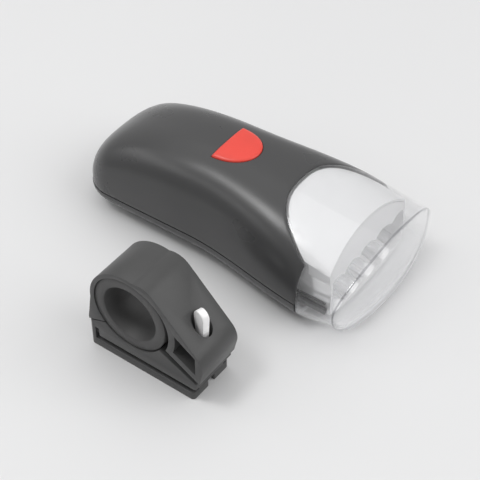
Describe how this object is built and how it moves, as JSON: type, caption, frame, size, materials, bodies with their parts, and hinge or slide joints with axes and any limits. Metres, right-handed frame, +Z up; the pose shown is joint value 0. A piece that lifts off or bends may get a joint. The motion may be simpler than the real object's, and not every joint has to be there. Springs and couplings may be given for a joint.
{
  "type": "bike headlight",
  "caption": "Battery bicycle headlight with a flared body, clear lens cup, reflector bowls and a push button, beside its hinged handlebar clamp bracket.",
  "frame": {"origin": "on the ground under the middle of the lamp, at the middle of its slide slot", "axes": "+X along the beam, +Z up, +Y from the bracket towards the lamp"},
  "size_m": [0.1292, 0.1109, 0.0425],
  "materials": {
    "black_plastic": "satin, fine grain",
    "red_plastic": "satin",
    "clear_plastic": "clear, polished",
    "bright_reflector": "metallised, satin bright",
    "led_clear": "clear, polished",
    "board_green": "satin",
    "chip_black": "matte",
    "steel": "plain",
    "bright_steel": "plated, bright",
    "cell_wrap": "wrapped, satin",
    "liner_rubber": "satin",
    "brass": "plain"
  },
  "bodies": {
    "housing": {"upper_shell": "black_plastic", "lower_shell": "black_plastic", "shell_screws": "steel"},
    "button": {"button": "red_plastic"},
    "head": {"lens": "clear_plastic", "reflector": "bright_reflector", "led_1": "led_clear", "led_2": "led_clear", "led_3": "led_clear", "led_4": "led_clear", "led_5": "led_clear", "led_board": "board_green", "head_screws": "steel", "battery_tray": "black_plastic", "cell_1": "cell_wrap", "cell_2": "cell_wrap", "cell_3": "cell_wrap", "cell_4": "cell_wrap", "contacts_front": "steel", "contacts_rear": "steel", "control_board": "board_green", "control_chip": "chip_black", "tact_switch": "steel"},
    "plunger": {"switch_plunger": "chip_black"},
    "bracket": {"bracket_base": "black_plastic", "hinge_pin": "steel", "threaded_insert": "brass"},
    "strap": {"clamp_strap": "black_plastic", "liner": "liner_rubber", "screw_washer": "steel"},
    "screw": {"thumb_screw": "bright_steel", "screw_clip": "steel"}
  },
  "joints": [
    {"name": "button_press", "type": "slide", "parent": "housing", "child": "button", "axis": [0, 0, -1], "range_m": [0, 0.0006], "stiffness_N_per_m": 1500, "springref_m": -0.0002},
    {"name": "head_pull", "type": "slide", "parent": "housing", "child": "head", "axis": [1, 0, 0], "range_m": [0, 0.09]},
    {"name": "switch_plunge", "type": "slide", "parent": "head", "child": "plunger", "axis": [0, 0, -1], "range_m": [0, 0.0006]},
    {"name": "bracket_lift", "type": "slide", "parent": "housing", "child": "bracket", "axis": [0, 0, 1], "range_m": [0, 0.05]},
    {"name": "strap_open", "type": "hinge", "parent": "bracket", "child": "strap", "pos_m": [-0.0064, -0.0685, 0.008], "axis": [0, -1, 0], "range_deg": [0, 5.22]},
    {"name": "screw_turn", "type": "hinge", "parent": "strap", "child": "screw", "pos_m": [0.032, -0.0685, 0.0172], "axis": [0, 0, 1], "range_deg": [0, 1800]}
  ],
  "couplings": [
    {"joint": "switch_plunge", "follows": "button_press", "ratio": 1},
    {"joint": "screw_turn", "follows": "strap_open", "ratio": 344.8}
  ]
}
